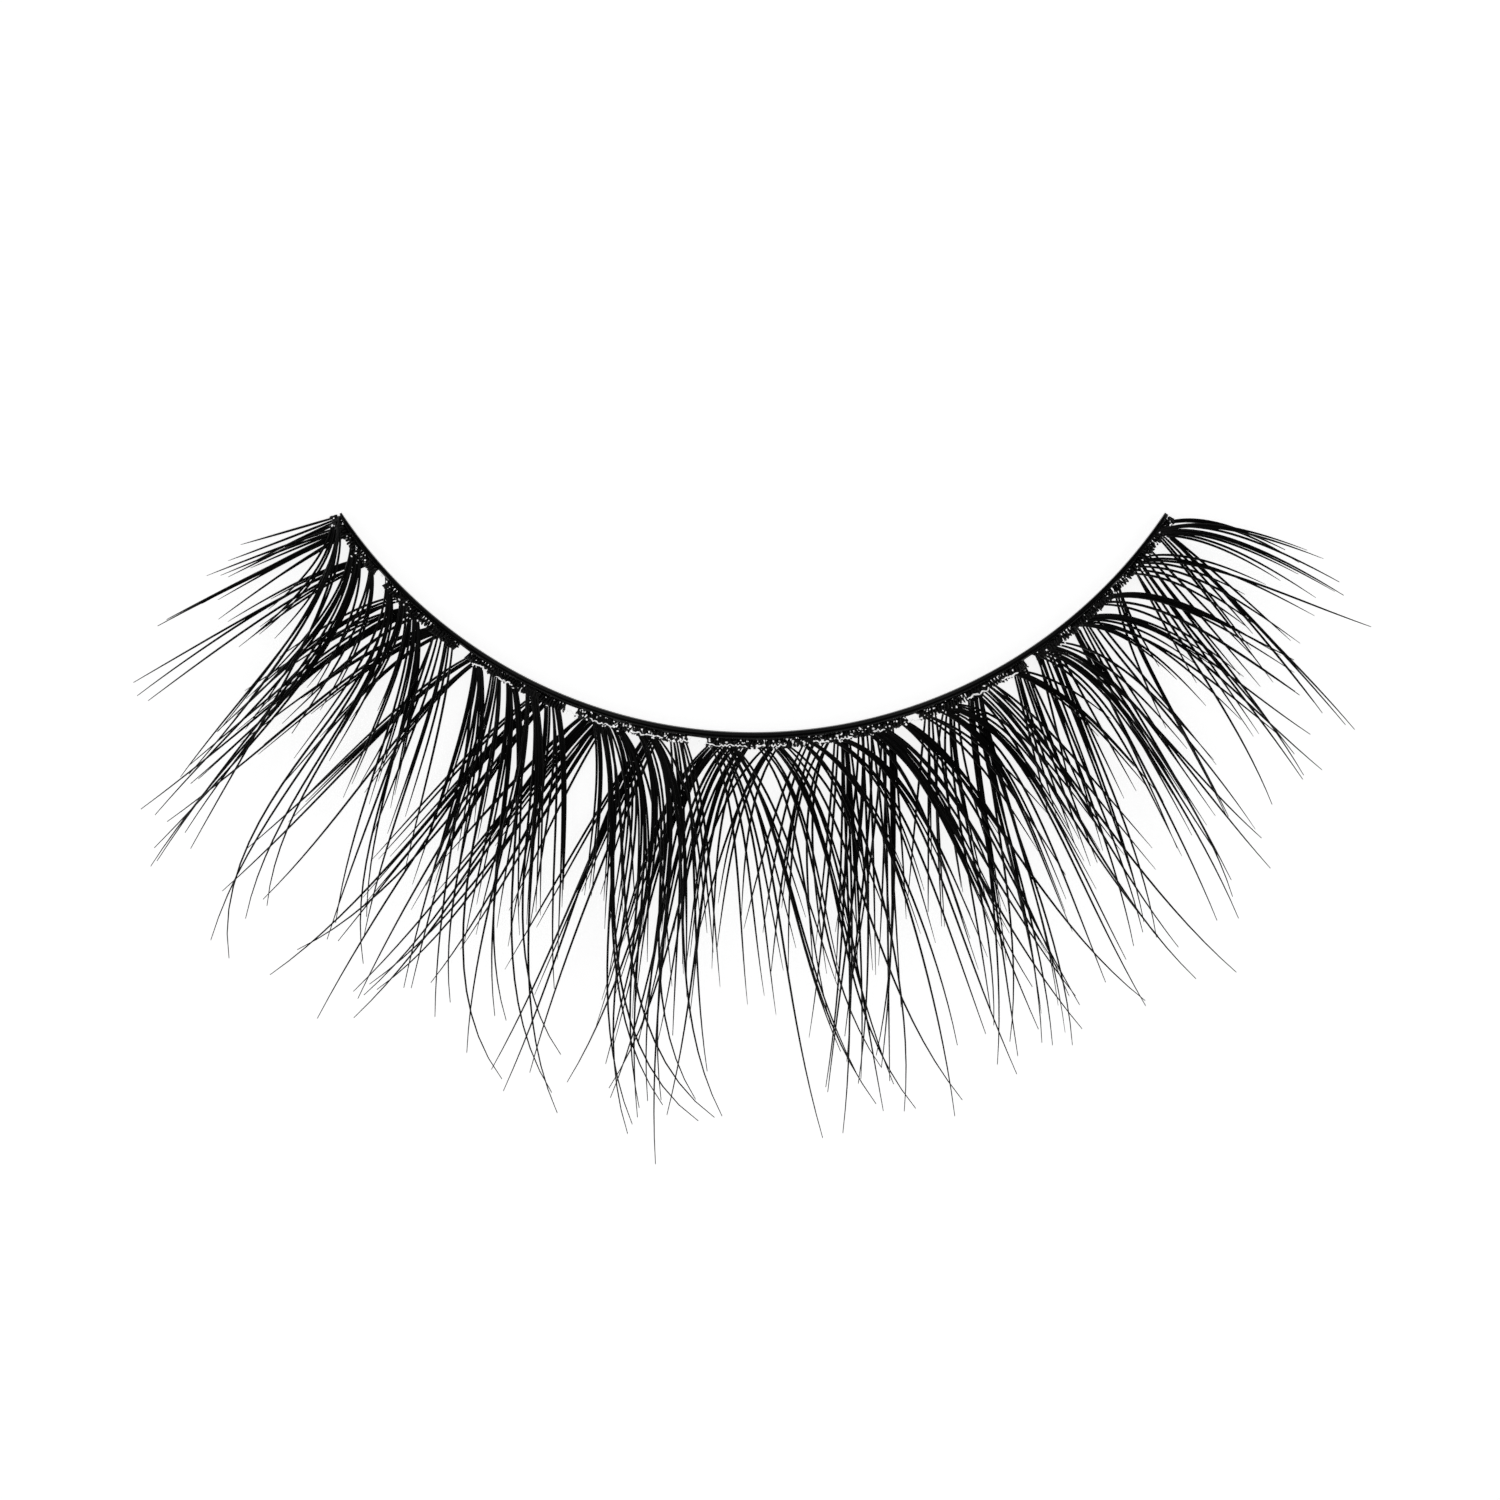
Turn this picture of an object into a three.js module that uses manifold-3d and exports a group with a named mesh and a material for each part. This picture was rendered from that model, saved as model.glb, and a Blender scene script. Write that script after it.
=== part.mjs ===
// A false eyelash strip: a thin curved band with small hair clusters knotted along its outer edge in two
// crossing rows. Millimetres, +Z up. The strip lies on its underside with the middle of the band at the
// origin; the hair fans out towards -Y and curls up at its tips.
import * as THREE from "three";
import { mergeVertices } from "three/addons/utils/BufferGeometryUtils.js";
import Module from "manifold-3d";

const wasm = await Module();
wasm.setup();

// Band: an arc seen from above, widest at the middle. Its lid side keeps to one circle all along.
const BAND_LENGTH = 33;
const BAND_RADIUS = 16.85;
const BAND_HEIGHT = 0.64;
const BAND_WIDTH_MIDDLE = 0.3;
const BAND_WIDTH_END = 0.19;
const BAND_CHAMFER_SHARE = 0.2;
const BAND_STEPS = 41;
const POINTED_END_LENGTH = 0.4;
const BLUNT_END_LENGTH = 0.25;
const BLUNT_END_WIDTH_SHARE = 0.85;
const POINT_WIDTH = 0.08;
const LID_SIDE = -BAND_WIDTH_MIDDLE / 2;

// Rows: the clusters lie in four thin layers, two for each row, so crossing locks pass clear of each other
const LAYER_HEIGHT = 0.16;
const KNOT_HEIGHT = 0.13;
const KNOT_GAP_TO_BAND = 0.04;
const KNOT_DEPTH = 0.32;
const KNOT_OVERHANG = 0.1;
const KNOT_STEPS = 2;

// Locks: tapered strands with a flat underside
const HAIRS_PER_LOCK = 3;
const WISPS_PER_LONG_LOCK = 2;
const LOCK_ROOT_WIDTH = 0.28;
const LOCK_HEIGHT = 0.1;
const LOCK_LIFT_IN_KNOT = 0.015;
const LOCK_TIP_SHARE = 0.14;
const LOCK_TAPER_POWER = 1.3;
const LOCK_STEPS = 5;
const LONG_LOCK_STEPS = 7;
const ROOT_DEPTH = 0.15;
const PATH_STEPS_PER_SECTION = 6;

// Shape of a lock: it leaves the band at its root lean, bends to its settled lean, and swings at its tip
const BEND_LENGTH = 2.2;
const SWING_LENGTH = 12;
const SWING_POWER = 3;
const LONG_LOCK_SWING_SHARE = 1.2;
const FAN_DEG = 5;
const FULL_LOCK_SHARE = 1.2;
const SHORT_LOCK_SHARE = 0.95;

// Curl: flat under the belly, then rising towards the tips
const BELLY_REACH = 2.6;
const CURL_REACH = 14;
const CURL_RISE = 5.2;
const CURL_POWER = 1.8;

const BLACK_BAND = { color: 0x0b0b0c, roughness: 0.42, metalness: 0 };
const BLACK_HAIR = { color: 0x060606, roughness: 0.34, metalness: 0 };

// at: mm along the band from its middle, plus is to the right. width: mm of the band that the roots take up.
// root, settled and swing: degrees from straight out of the band, plus is to the right. length and reach: mm
// of the locks and of the wisps.
const COLUMNS = ["at", "width", "root", "settled", "swing", "length", "reach", "hairs", "wisps"];
const FRONT_ROW = [
  [-16.4, 0.25, 56, 0, 0, 4.5, 6.0, 4, 0],
  [-16.15, 0.12, 56, 17, 0, 6.5, 12.2, 3, 3],
  [-15.25, 0.5, 52, 9, 6, 6.0, 13.0, 7, 5],
  [-14.4, 0.2, 50, 10, 10, 5.0, 7.0, 3, 1],
  [-13.55, 0.3, 54, 8, 22, 5.5, 13.6, 4, 4],
  [-12.85, 0.3, 42, 3, 10, 4.2, 6.0, 4, 0],
  [-12.35, 0.4, 44, 20, 20, 6.0, 12.8, 6, 3],
  [-11.05, 0.9, 28, 16, 10, 6.5, 12.2, 6, 2],
  [-9.65, 0.35, 34, 17, 10, 6.5, 13.0, 6, 3],
  [-8.95, 0.4, 28, 11, 22, 6.0, 13.8, 5, 2],
  [-8.35, 0.4, 37, 18, 22, 7.0, 13.8, 6, 3],
  [-7.6, 0.45, 33, 17, 18, 7.0, 14.0, 6, 3],
  [-6.85, 0.6, 32, 15, 8, 7.5, 10.0, 7, 1],
  [-5.15, 0.6, 33, 10, 24, 7.0, 14.0, 7, 4],
  [-4.6, 0.35, 50, 8, 14, 7.5, 14.4, 7, 3],
  [-3.55, 0.75, 46, 6, 14, 8.0, 14.4, 9, 5],
  [-2.5, 0.6, 22, 8, 6, 7.5, 11.5, 6, 2],
  [-1.05, 0.9, 40, 12, 12, 8.5, 13.4, 7, 4],
  [0.6, 1.2, 46, 7, 15, 8.5, 13.8, 5, 5],
  [1.75, 0.5, 55, 10, -6, 6.5, 13.6, 4, 3],
  [2.7, 0.5, 64, 7, 4, 7.5, 12.8, 5, 2],
  [4.1, 0.65, 44, 8, 8, 8.5, 12.6, 9, 4],
  [5.05, 0.25, 42, 9, 8, 6.5, 12.6, 4, 3],
  [5.75, 0.15, 53, 13, 8, 6.5, 9.0, 2, 1],
  [6.5, 0.65, 56, 1, 8, 7.0, 12.2, 8, 3],
  [7.95, 0.8, 25, 3, 12, 7.0, 12.4, 6, 4],
  [9.1, 0.25, 50, 4, 10, 4.8, 7.5, 4, 1],
  [10.45, 0.9, 40, -7, 8, 6.5, 11.4, 8, 3],
  [11.95, 0.5, 59, 2, 10, 5.0, 9.8, 7, 3],
  [13.0, 0.6, 54, 9, 6, 6.0, 8.0, 5, 2],
  [14.55, 0.9, 48, 2, 10, 4.8, 8.4, 6, 1],
  [15.95, 0.35, 44, 5, -6, 5.0, 6.8, 6, 2],
  [16.35, 0.15, 46, -2, -10, 3.8, 5.0, 2, 1],
];
const BACK_ROW = [
  [-16.4, 0.3, -12, -12, -2, 4.0, 4.8, 4, 0],
  [-15.95, 0.4, -12, -6, 8, 4.2, 7.9, 7, 2],
  [-14.7, 0.3, -24, -5, 2, 4.2, 8.8, 5, 3],
  [-13.05, 0.3, -34, -1, 0, 5.0, 8.0, 3, 1],
  [-12.4, 0.5, -30, -5, -6, 6.0, 11.2, 7, 4],
  [-11.4, 0.5, -36, -6, -6, 6.0, 11.6, 7, 1],
  [-9.85, 0.4, -26, -6, -4, 7.0, 12.2, 5, 3],
  [-7.25, 0.6, -24, -11, -6, 7.5, 13.0, 7, 5],
  [-5.35, 0.9, -26, -14, -14, 7.0, 12.6, 12, 6],
  [-3.35, 0.5, -20, -12, 0, 7.5, 12.6, 6, 3],
  [-0.75, 1.4, -42, -6, -10, 8.5, 12.6, 13, 6],
  [0.7, 0.5, -44, -10, 0, 6.0, 7.8, 4, 1],
  [1.85, 0.45, -32, -14, 0, 5.5, 9.0, 3, 1],
  [2.5, 0.3, -42, -3, 0, 7.0, 9.0, 2, 1],
  [2.95, 0.6, -7, -11, -8, 9.0, 13.4, 5, 4],
  [3.8, 0.7, -8, -16, 0, 8.5, 12.0, 5, 3],
  [4.5, 0.5, -12, -17, -6, 7.5, 13.6, 4, 3],
  [6.0, 0.45, -19, -18, 0, 6.0, 8.0, 4, 1],
  [6.75, 0.6, -27, -10, -14, 6.5, 13.0, 5, 2],
  [7.6, 0.5, -20, -12, -14, 9.5, 12.8, 7, 6],
  [9.3, 0.5, -14, -13, 0, 5.5, 8.0, 6, 1],
  [10.4, 0.8, -13, -14, -12, 7.0, 11.4, 7, 4],
  [11.95, 0.95, -10, -8, -14, 7.5, 11.6, 6, 4],
  [13.5, 0.4, -32, -14, -8, 3.8, 9.0, 2, 2],
  [14.8, 1.0, -16, -13, -14, 5.5, 10.0, 6, 4],
  [15.85, 0.4, -8, -15, -6, 6.0, 9.4, 5, 4],
];
const BACK_FIRST_LAYER = 0;
const FRONT_FIRST_LAYER = 2;

const radians = THREE.MathUtils.degToRad;
const lerp = THREE.MathUtils.lerp;

function clusterRows(table) {
  return table.map((row) => Object.fromEntries(COLUMNS.map((name, i) => [name, row[i]])));
}

// A point at a distance along the band and a distance out from its middle line
function bandPoint(at, out, height) {
  const angle = at / BAND_RADIUS;
  const radius = BAND_RADIUS + out;
  return new THREE.Vector3(radius * Math.sin(angle), BAND_RADIUS - radius * Math.cos(angle), height);
}

// A closed outline pushed along its length in even steps; place moves each point to where it belongs
function sweep(outline, steps, place) {
  const shape = new THREE.Shape(outline.map(([x, y]) => new THREE.Vector2(x, y)));
  const swept = new THREE.ExtrudeGeometry(shape, { depth: 1, steps, bevelEnabled: false });
  const points = swept.getAttribute("position");
  const point = new THREE.Vector3();
  for (let i = 0; i < points.count; i += 1) {
    point.fromBufferAttribute(points, i);
    const moved = place(point.x, point.y, point.z);
    points.setXYZ(i, moved.x, moved.y, moved.z);
  }
  return swept;
}

function toSolid(geometry) {
  const bare = geometry.clone();
  bare.deleteAttribute("normal");
  bare.deleteAttribute("uv");
  const merged = mergeVertices(bare);
  return new wasm.Manifold(
    new wasm.Mesh({
      numProp: 3,
      vertProperties: merged.getAttribute("position").array,
      triVerts: new Uint32Array(merged.index.array),
    }),
  );
}

function fuse(geometries) {
  const solid = geometries.map(toSolid).reduce((whole, piece) => whole.add(piece));
  const { vertProperties, triVerts } = solid.getMesh();
  const geometry = new THREE.BufferGeometry();
  geometry.setAttribute("position", new THREE.BufferAttribute(vertProperties, 3));
  geometry.setIndex(new THREE.BufferAttribute(triVerts, 1));
  geometry.computeVertexNormals();
  return geometry;
}

// Width of the band at a distance along it, before its ends are shaped
function bandWidth(at) {
  const share = Math.cos((Math.PI * at) / BAND_LENGTH);
  return lerp(BAND_WIDTH_END, BAND_WIDTH_MIDDLE, share);
}

// Distance out to the band's hair side, before its ends are shaped
function hairSide(at) {
  return LID_SIDE + bandWidth(at);
}

// The hair side with its ends drawn in: to a point on the left, bluntly on the right
function outerEdge(at) {
  const width = bandWidth(at);
  const fromLeft = at + BAND_LENGTH / 2;
  const fromRight = BAND_LENGTH / 2 - at;
  const pointShare = Math.min(1, fromLeft / POINTED_END_LENGTH);
  const bluntShare = Math.min(1, fromRight / BLUNT_END_LENGTH);
  const pointed = lerp(POINT_WIDTH, width, pointShare);
  const blunt = lerp(width * BLUNT_END_WIDTH_SHARE, width, bluntShare);
  return LID_SIDE + Math.min(pointed, blunt);
}

function makeBand() {
  const c = BAND_CHAMFER_SHARE;
  const section = [[c, 0], [1 - c, 0], [1, c], [1, 1 - c], [1 - c, 1], [c, 1], [0, 1 - c], [0, c]];
  return sweep(section, BAND_STEPS, (across, up, along) => {
    const at = (along - 0.5) * BAND_LENGTH;
    return bandPoint(at, lerp(outerEdge(at), LID_SIDE, across), up * BAND_HEIGHT);
  });
}

// Height of a lock's underside above its layer, from its distance out of the band
function curl(x, y) {
  const out = Math.hypot(x, y - BAND_RADIUS) - BAND_RADIUS;
  const share = Math.max(0, out - BELLY_REACH) / (CURL_REACH - BELLY_REACH);
  return CURL_RISE * share ** CURL_POWER;
}

// The line that a lock follows, seen from above: points with their heading, one for each section
function lockLine(root, lean, length, sections) {
  const start = bandPoint(root, hairSide(root) + ROOT_DEPTH, 0);
  const outward = root / BAND_RADIUS;
  const line = [];
  const step = length / (sections * PATH_STEPS_PER_SECTION);
  let { x, y } = start;
  for (let i = 0; i <= sections * PATH_STEPS_PER_SECTION; i += 1) {
    const run = i * step;
    const bent = lean.settled + (lean.root - lean.settled) * Math.exp(-run / BEND_LENGTH);
    const heading = outward + radians(bent + lean.swing * (run / SWING_LENGTH) ** SWING_POWER);
    if (i % PATH_STEPS_PER_SECTION === 0) {
      line.push({ x, y, heading });
    }
    x += step * Math.sin(heading);
    y -= step * Math.cos(heading);
  }
  return line;
}

function makeLock(root, lean, length, sections, base) {
  const line = lockLine(root, lean, length, sections);
  const section = [[-0.5, 0], [0.5, 0], [0, 1]];
  return sweep(section, sections, (across, up, along) => {
    const { x, y, heading } = line[Math.round(along * sections)];
    const taper = lerp(1, LOCK_TIP_SHARE, along ** LOCK_TAPER_POWER);
    const side = across * LOCK_ROOT_WIDTH * taper;
    const height = base + curl(x, y) + up * LOCK_HEIGHT * taper;
    return new THREE.Vector3(x + side * Math.cos(heading), y + side * Math.sin(heading), height);
  });
}

// The bar of tied hair roots along the band's outer edge
function makeKnot(at, halfWidth, base) {
  const reach = halfWidth + KNOT_OVERHANG;
  const section = [[0, 0], [1, 0], [1, 1], [0, 1]];
  return sweep(section, KNOT_STEPS, (across, up, along) => {
    const place = at + lerp(-reach, reach, along);
    const inner = hairSide(place) + KNOT_GAP_TO_BAND;
    return bandPoint(place, lerp(inner + KNOT_DEPTH, inner, across), base + up * KNOT_HEIGHT);
  });
}

// Even shares from -1 to 1, or the middle alone
function spread(count) {
  return Array.from({ length: count }, (_, i) => (count === 1 ? 0 : (2 * i) / (count - 1) - 1));
}

function makeCluster(cluster, base) {
  const { at, width, root, settled, swing, length, reach, hairs, wisps } = cluster;
  const halfWidth = width / 2;
  const longLocks = Math.ceil(wisps / WISPS_PER_LONG_LOCK);
  const pieces = [makeKnot(at, halfWidth, base)];
  spread(Math.max(2, Math.round(hairs / HAIRS_PER_LOCK))).forEach((share, i) => {
    const isEven = i % 2 === 0;
    const isLong = isEven && i / 2 < longLocks;
    const lean = {
      root: root + share * FAN_DEG,
      settled: settled + share * FAN_DEG,
      swing: swing * (isLong ? LONG_LOCK_SWING_SHARE : 1),
    };
    const shortLength = length * (isEven ? FULL_LOCK_SHARE : SHORT_LOCK_SHARE);
    const lockLength = isLong ? reach : shortLength;
    const steps = isLong ? LONG_LOCK_STEPS : LOCK_STEPS;
    pieces.push(makeLock(at + share * halfWidth, lean, lockLength, steps, base + LOCK_LIFT_IN_KNOT));
  });
  return fuse(pieces);
}

function addPiece(parent, name, geometry, finish) {
  const mesh = new THREE.Mesh(geometry, new THREE.MeshStandardMaterial(finish));
  mesh.name = name;
  parent.add(mesh);
}

function addRow(parent, name, table, firstLayer) {
  const row = new THREE.Group();
  clusterRows(table).forEach((cluster, i) => {
    const base = (firstLayer + (i % 2)) * LAYER_HEIGHT;
    const number = String(i + 1).padStart(2, "0");
    addPiece(row, `${name}_cluster_${number}`, makeCluster(cluster, base), BLACK_HAIR);
  });
  parent.add(row);
}

const lash = new THREE.Group();
addPiece(lash, "band", makeBand(), BLACK_BAND);
addRow(lash, "back", BACK_ROW, BACK_FIRST_LAYER);
addRow(lash, "front", FRONT_ROW, FRONT_FIRST_LAYER);

export default lash;
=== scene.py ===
"""A wispy false eyelash strip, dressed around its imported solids.

The strip lies on a pale floor with the middle of its band at the origin. Its hair fans out towards -Y in two
crossing rows of clusters and curls up at the tips. Sizes are in millimetres and become metres in the meshes.
"""

import logging
import math
import random
from dataclasses import dataclass, field
from enum import Enum
from typing import NamedTuple

import bmesh
import bpy
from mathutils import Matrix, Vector


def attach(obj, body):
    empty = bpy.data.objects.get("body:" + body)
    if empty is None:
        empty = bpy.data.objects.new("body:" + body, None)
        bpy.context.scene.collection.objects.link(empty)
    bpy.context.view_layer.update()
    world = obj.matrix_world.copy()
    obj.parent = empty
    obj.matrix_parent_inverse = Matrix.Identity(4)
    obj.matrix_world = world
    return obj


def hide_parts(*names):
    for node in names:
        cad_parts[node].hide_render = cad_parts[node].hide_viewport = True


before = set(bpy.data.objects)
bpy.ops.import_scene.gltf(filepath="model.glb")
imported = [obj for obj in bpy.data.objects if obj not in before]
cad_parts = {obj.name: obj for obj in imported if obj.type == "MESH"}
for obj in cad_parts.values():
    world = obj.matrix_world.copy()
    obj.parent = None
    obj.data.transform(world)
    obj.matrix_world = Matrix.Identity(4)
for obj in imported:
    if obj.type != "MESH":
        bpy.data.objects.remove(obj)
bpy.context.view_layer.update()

LOG = logging.getLogger("lash")
MM = 0.001
BODY = "root"
WHITE = (1.0, 1.0, 1.0, 1.0)

Shade = tuple[float, float, float]


class Cluster(NamedTuple):
    """One knotted bundle of hairs. Lengths are in mm; leans are degrees from straight out of the band.

    The columns are the place along the band, the width of the roots there, the lean at the root, the settled
    lean, the swing of the tip, the length of the hairs, the reach of the wisps, and how many hairs and wisps
    there are. Plus is to the right.
    """

    at: float
    width: float
    root: float
    settled: float
    swing: float
    length: float
    reach: float
    hairs: int
    wisps: int


FRONT_ROW = (
    Cluster(-16.4, 0.25, 56, 0, 0, 4.5, 6.0, 4, 0),
    Cluster(-16.15, 0.12, 56, 17, 0, 6.5, 12.2, 3, 3),
    Cluster(-15.25, 0.5, 52, 9, 6, 6.0, 13.0, 7, 5),
    Cluster(-14.4, 0.2, 50, 10, 10, 5.0, 7.0, 3, 1),
    Cluster(-13.55, 0.3, 54, 8, 22, 5.5, 13.6, 4, 4),
    Cluster(-12.85, 0.3, 42, 3, 10, 4.2, 6.0, 4, 0),
    Cluster(-12.35, 0.4, 44, 20, 20, 6.0, 12.8, 6, 3),
    Cluster(-11.05, 0.9, 28, 16, 10, 6.5, 12.2, 6, 2),
    Cluster(-9.65, 0.35, 34, 17, 10, 6.5, 13.0, 6, 3),
    Cluster(-8.95, 0.4, 28, 11, 22, 6.0, 13.8, 5, 2),
    Cluster(-8.35, 0.4, 37, 18, 22, 7.0, 13.8, 6, 3),
    Cluster(-7.6, 0.45, 33, 17, 18, 7.0, 14.0, 6, 3),
    Cluster(-6.85, 0.6, 32, 15, 8, 7.5, 10.0, 7, 1),
    Cluster(-5.15, 0.6, 33, 10, 24, 7.0, 14.0, 7, 4),
    Cluster(-4.6, 0.35, 50, 8, 14, 7.5, 14.4, 7, 3),
    Cluster(-3.55, 0.75, 46, 6, 14, 8.0, 14.4, 9, 5),
    Cluster(-2.5, 0.6, 22, 8, 6, 7.5, 11.5, 6, 2),
    Cluster(-1.05, 0.9, 40, 12, 12, 8.5, 13.4, 7, 4),
    Cluster(0.6, 1.2, 46, 7, 15, 8.5, 13.8, 5, 5),
    Cluster(1.75, 0.5, 55, 10, -6, 6.5, 13.6, 4, 3),
    Cluster(2.7, 0.5, 64, 7, 4, 7.5, 12.8, 5, 2),
    Cluster(4.1, 0.65, 44, 8, 8, 8.5, 12.6, 9, 4),
    Cluster(5.05, 0.25, 42, 9, 8, 6.5, 12.6, 4, 3),
    Cluster(5.75, 0.15, 53, 13, 8, 6.5, 9.0, 2, 1),
    Cluster(6.5, 0.65, 56, 1, 8, 7.0, 12.2, 8, 3),
    Cluster(7.95, 0.8, 25, 3, 12, 7.0, 12.4, 6, 4),
    Cluster(9.1, 0.25, 50, 4, 10, 4.8, 7.5, 4, 1),
    Cluster(10.45, 0.9, 40, -7, 8, 6.5, 11.4, 8, 3),
    Cluster(11.95, 0.5, 59, 2, 10, 5.0, 9.8, 7, 3),
    Cluster(13.0, 0.6, 54, 9, 6, 6.0, 8.0, 5, 2),
    Cluster(14.55, 0.9, 48, 2, 10, 4.8, 8.4, 6, 1),
    Cluster(15.95, 0.35, 44, 5, -6, 5.0, 6.8, 6, 2),
    Cluster(16.35, 0.15, 46, -2, -10, 3.8, 5.0, 2, 1),
)
BACK_ROW = (
    Cluster(-16.4, 0.3, -12, -12, -2, 4.0, 4.8, 4, 0),
    Cluster(-15.95, 0.4, -12, -6, 8, 4.2, 7.9, 7, 2),
    Cluster(-14.7, 0.3, -24, -5, 2, 4.2, 8.8, 5, 3),
    Cluster(-13.05, 0.3, -34, -1, 0, 5.0, 8.0, 3, 1),
    Cluster(-12.4, 0.5, -30, -5, -6, 6.0, 11.2, 7, 4),
    Cluster(-11.4, 0.5, -36, -6, -6, 6.0, 11.6, 7, 1),
    Cluster(-9.85, 0.4, -26, -6, -4, 7.0, 12.2, 5, 3),
    Cluster(-7.25, 0.6, -24, -11, -6, 7.5, 13.0, 7, 5),
    Cluster(-5.35, 0.9, -26, -14, -14, 7.0, 12.6, 12, 6),
    Cluster(-3.35, 0.5, -20, -12, 0, 7.5, 12.6, 6, 3),
    Cluster(-0.75, 1.4, -42, -6, -10, 8.5, 12.6, 13, 6),
    Cluster(0.7, 0.5, -44, -10, 0, 6.0, 7.8, 4, 1),
    Cluster(1.85, 0.45, -32, -14, 0, 5.5, 9.0, 3, 1),
    Cluster(2.5, 0.3, -42, -3, 0, 7.0, 9.0, 2, 1),
    Cluster(2.95, 0.6, -7, -11, -8, 9.0, 13.4, 5, 4),
    Cluster(3.8, 0.7, -8, -16, 0, 8.5, 12.0, 5, 3),
    Cluster(4.5, 0.5, -12, -17, -6, 7.5, 13.6, 4, 3),
    Cluster(6.0, 0.45, -19, -18, 0, 6.0, 8.0, 4, 1),
    Cluster(6.75, 0.6, -27, -10, -14, 6.5, 13.0, 5, 2),
    Cluster(7.6, 0.5, -20, -12, -14, 9.5, 12.8, 7, 6),
    Cluster(9.3, 0.5, -14, -13, 0, 5.5, 8.0, 6, 1),
    Cluster(10.4, 0.8, -13, -14, -12, 7.0, 11.4, 7, 4),
    Cluster(11.95, 0.95, -10, -8, -14, 7.5, 11.6, 6, 4),
    Cluster(13.5, 0.4, -32, -14, -8, 3.8, 9.0, 2, 2),
    Cluster(14.8, 1.0, -16, -13, -14, 5.5, 10.0, 6, 4),
    Cluster(15.85, 0.4, -8, -15, -6, 6.0, 9.4, 5, 4),
)


class Row(Enum):
    """The two crossing rows: their word, their first layer and their clusters from left to right."""

    BACK = ("back", 0, BACK_ROW)
    FRONT = ("front", 2, FRONT_ROW)

    def __init__(self, word: str, first_layer: int, clusters: tuple[Cluster, ...]) -> None:
        """Names what each row holds.

        Args:
            word: The row's word in the names of its pieces.
            first_layer: The lower of its two layers.
            clusters: Its clusters from left to right.
        """
        self.word = word
        self.first_layer = first_layer
        self.clusters = clusters


class MaterialSlot(Enum):
    """The record's material slots."""

    BAND = "band"
    HAIR = "hair"


def lerp(start: float, end: float, share: float) -> float:
    """Returns the value at a share of the way from start to end."""
    return start + (end - start) * share


def link_object(name: str, mesh: bpy.types.Mesh) -> bpy.types.Object:
    """Puts a mesh into the scene as an object at the origin.

    Args:
        name: The object's name.
        mesh: The mesh, with its place in its points.

    Returns:
        The new object.
    """
    piece = bpy.data.objects.new(name, mesh)
    bpy.context.scene.collection.objects.link(piece)
    return piece


@dataclass(frozen=True)
class BandArc:
    """The arc that the band follows, seen from above: a clean circle on the lid side, thinner at its ends."""

    length: float = 33.0
    radius: float = 16.85
    height: float = 0.64
    width_middle: float = 0.3
    width_end: float = 0.19
    end_margin: float = 0.1

    def point(self, at: float, out: float, height: float) -> Vector:
        """Finds a place by the band.

        Args:
            at: Distance along the band from its middle.
            out: Distance out from its middle line, plus is towards the hair.
            height: Height above the floor.

        Returns:
            The place, in millimetres.
        """
        angle = at / self.radius
        radius = self.radius + out
        return Vector((radius * math.sin(angle), self.radius - radius * math.cos(angle), height))

    @property
    def lid_side(self) -> float:
        """Returns how far out the band's lid side lies, all along it."""
        return -self.width_middle / 2

    def hair_side(self, at: float) -> float:
        """Returns how far out the band's hair side lies at a place, before its ends are shaped."""
        return self.lid_side + lerp(self.width_end, self.width_middle, math.cos(math.pi * at / self.length))

    def held(self, at: float) -> float:
        """Returns the place along the band nearest to the one asked for, safely between its ends."""
        limit = self.length / 2 - self.end_margin
        return max(-limit, min(limit, at))

    def distance_out(self, x: float, y: float) -> float:
        """Returns how far a place lies out of the band's middle line."""
        return math.hypot(x, y - self.radius) - self.radius


class Lean(NamedTuple):
    """Which way a hair points: at its root, once it has settled, and how far its tip swings, in degrees."""

    root: float
    settled: float
    swing: float


class Strand(NamedTuple):
    """One traced line that gets a round section: its points, its radii in mm, its tone and its wetness."""

    points: list[Vector]
    radii: list[float]
    tone: float
    wet: list[float]


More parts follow.
